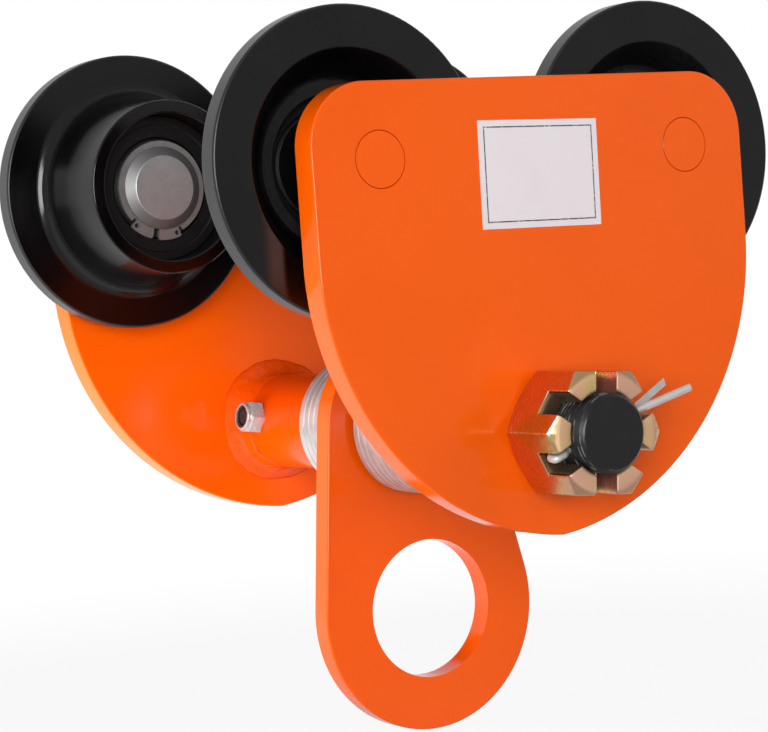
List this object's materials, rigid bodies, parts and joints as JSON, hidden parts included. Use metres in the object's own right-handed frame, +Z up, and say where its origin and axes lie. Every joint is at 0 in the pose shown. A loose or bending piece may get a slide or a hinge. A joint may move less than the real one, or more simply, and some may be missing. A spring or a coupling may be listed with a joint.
{
  "type": "manual beam trolley",
  "caption": "Push-travel beam trolley: orange side plates on flanged wheels, joined by a cross shaft with spacer washers that carries a swinging hanger lug with a load eye.",
  "frame": {"origin": "on the beam's running surface at half the tread length, midway between the side plates and between the axles", "axes": "+X along the beam, +Y from the front plate (the side of the slotted nut) to the rear plate, +Z up"},
  "size_m": [0.26, 0.2642, 0.2947],
  "materials": {
    "orange_paint": "gloss",
    "wheel_black": "satin",
    "axle_steel": "satin",
    "bearing_steel": "gloss",
    "seal_rubber": "matte",
    "zinc_steel": "satin",
    "yellow_zinc_steel": "gloss",
    "black_steel": "satin",
    "insert_plastic": "matte",
    "label_white": "satin"
  },
  "bodies": {
    "frame": {"front_side_plate": "orange_paint", "rear_side_plate": "orange_paint", "rating_label": "label_white", "rear_sleeve": "orange_paint", "rear_sleeve_weld": "orange_paint", "front_sleeve": "orange_paint", "front_sleeve_weld": "orange_paint", "suspension_shaft": "black_steel", "rear_washers": "zinc_steel", "front_washers": "zinc_steel", "castle_nut": "yellow_zinc_steel", "split_pin": "zinc_steel", "lock_bolt": "zinc_steel", "lock_nut": "zinc_steel", "lock_nut_insert": "insert_plastic", "axle_front_left": "axle_steel", "retaining_ring_front_left": "axle_steel", "bearing_inner_ring_front_left": "bearing_steel", "axle_front_right": "axle_steel", "retaining_ring_front_right": "axle_steel", "bearing_inner_ring_front_right": "bearing_steel", "axle_rear_left": "axle_steel", "retaining_ring_rear_left": "axle_steel", "bearing_inner_ring_rear_left": "bearing_steel", "axle_rear_right": "axle_steel", "retaining_ring_rear_right": "axle_steel", "bearing_inner_ring_rear_right": "bearing_steel"},
    "lug": {"hanger_lug": "orange_paint"},
    "wheel_front_left": {"wheel_front_left": "wheel_black", "bearing_outer_ring_front_left": "bearing_steel", "bearing_seals_front_left": "seal_rubber"},
    "cage_front_left": {"bearing_balls_front_left": "bearing_steel", "bearing_cage_front_left": "axle_steel"},
    "wheel_front_right": {"wheel_front_right": "wheel_black", "bearing_outer_ring_front_right": "bearing_steel", "bearing_seals_front_right": "seal_rubber"},
    "cage_front_right": {"bearing_balls_front_right": "bearing_steel", "bearing_cage_front_right": "axle_steel"},
    "wheel_rear_left": {"wheel_rear_left": "wheel_black", "bearing_outer_ring_rear_left": "bearing_steel", "bearing_seals_rear_left": "seal_rubber"},
    "cage_rear_left": {"bearing_balls_rear_left": "bearing_steel", "bearing_cage_rear_left": "axle_steel"},
    "wheel_rear_right": {"wheel_rear_right": "wheel_black", "bearing_outer_ring_rear_right": "bearing_steel", "bearing_seals_rear_right": "seal_rubber"},
    "cage_rear_right": {"bearing_balls_rear_right": "bearing_steel", "bearing_cage_rear_right": "axle_steel"}
  },
  "joints": [
    {"name": "lug_swing", "type": "hinge", "parent": "frame", "child": "lug", "pos_m": [0, -0.0027, -0.06713], "axis": [0, 1, 0], "range_deg": [-85.7, 94.3]},
    {"name": "wheel_spin_front_left", "type": "hinge", "parent": "frame", "child": "wheel_front_left", "pos_m": [-0.071, -0.0685, 0.03938], "axis": [0, 1, 0], "continuous": true},
    {"name": "cage_spin_front_left", "type": "hinge", "parent": "frame", "child": "cage_front_left", "pos_m": [-0.071, -0.0685, 0.03938], "axis": [0, 1, 0], "continuous": true},
    {"name": "wheel_spin_front_right", "type": "hinge", "parent": "frame", "child": "wheel_front_right", "pos_m": [0.071, -0.0685, 0.03938], "axis": [0, 1, 0], "continuous": true},
    {"name": "cage_spin_front_right", "type": "hinge", "parent": "frame", "child": "cage_front_right", "pos_m": [0.071, -0.0685, 0.03938], "axis": [0, 1, 0], "continuous": true},
    {"name": "wheel_spin_rear_left", "type": "hinge", "parent": "frame", "child": "wheel_rear_left", "pos_m": [-0.071, 0.0685, 0.03938], "axis": [0, 1, 0], "continuous": true},
    {"name": "cage_spin_rear_left", "type": "hinge", "parent": "frame", "child": "cage_rear_left", "pos_m": [-0.071, 0.0685, 0.03938], "axis": [0, 1, 0], "continuous": true},
    {"name": "wheel_spin_rear_right", "type": "hinge", "parent": "frame", "child": "wheel_rear_right", "pos_m": [0.071, 0.0685, 0.03938], "axis": [0, 1, 0], "continuous": true},
    {"name": "cage_spin_rear_right", "type": "hinge", "parent": "frame", "child": "cage_rear_right", "pos_m": [0.071, 0.0685, 0.03938], "axis": [0, 1, 0], "continuous": true}
  ],
  "couplings": [
    {"joint": "cage_spin_front_left", "follows": "wheel_spin_front_left", "ratio": 0.58144},
    {"joint": "cage_spin_front_right", "follows": "wheel_spin_front_right", "ratio": 0.58144},
    {"joint": "cage_spin_rear_left", "follows": "wheel_spin_rear_left", "ratio": 0.58144},
    {"joint": "cage_spin_rear_right", "follows": "wheel_spin_rear_right", "ratio": 0.58144}
  ]
}
